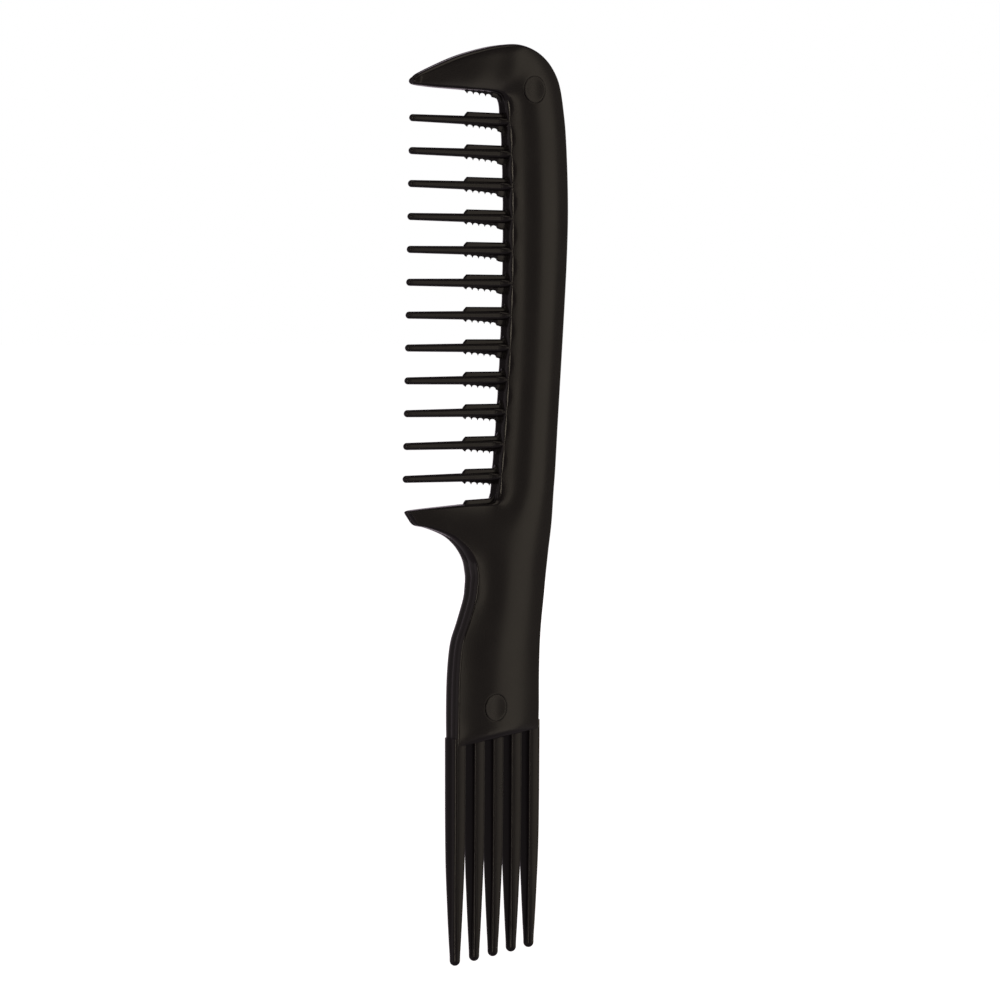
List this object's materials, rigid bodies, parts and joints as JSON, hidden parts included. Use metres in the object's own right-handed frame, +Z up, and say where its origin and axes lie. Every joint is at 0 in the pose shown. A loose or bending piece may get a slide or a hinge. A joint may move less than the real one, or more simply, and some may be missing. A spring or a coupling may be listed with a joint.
{
  "type": "hair comb",
  "caption": "Lift comb with a hooked top, long finned teeth along one side, a flat handle and a row of lifting prongs at the foot.",
  "frame": {"origin": "under the middle of the comb's bounding box, level with the lowest prong tip", "axes": "+Z up the comb from the prongs to the hook, +Y through its thickness towards the back face, +X across it from the teeth towards the spine"},
  "size_m": [0.0494, 0.0078, 0.2195],
  "materials": {
    "shell": "satin black moulded plastic",
    "rake": "satin black moulded plastic",
    "fork": "semi-gloss black moulded plastic",
    "pin": "satin black moulded plastic, flat ends"
  },
  "bodies": {
    "root": {"front_half": "shell", "back_half": "shell", "tooth_rake": "rake", "lift_fork": "fork", "upper_pin": "pin", "lower_pin": "pin"}
  },
  "joints": []
}
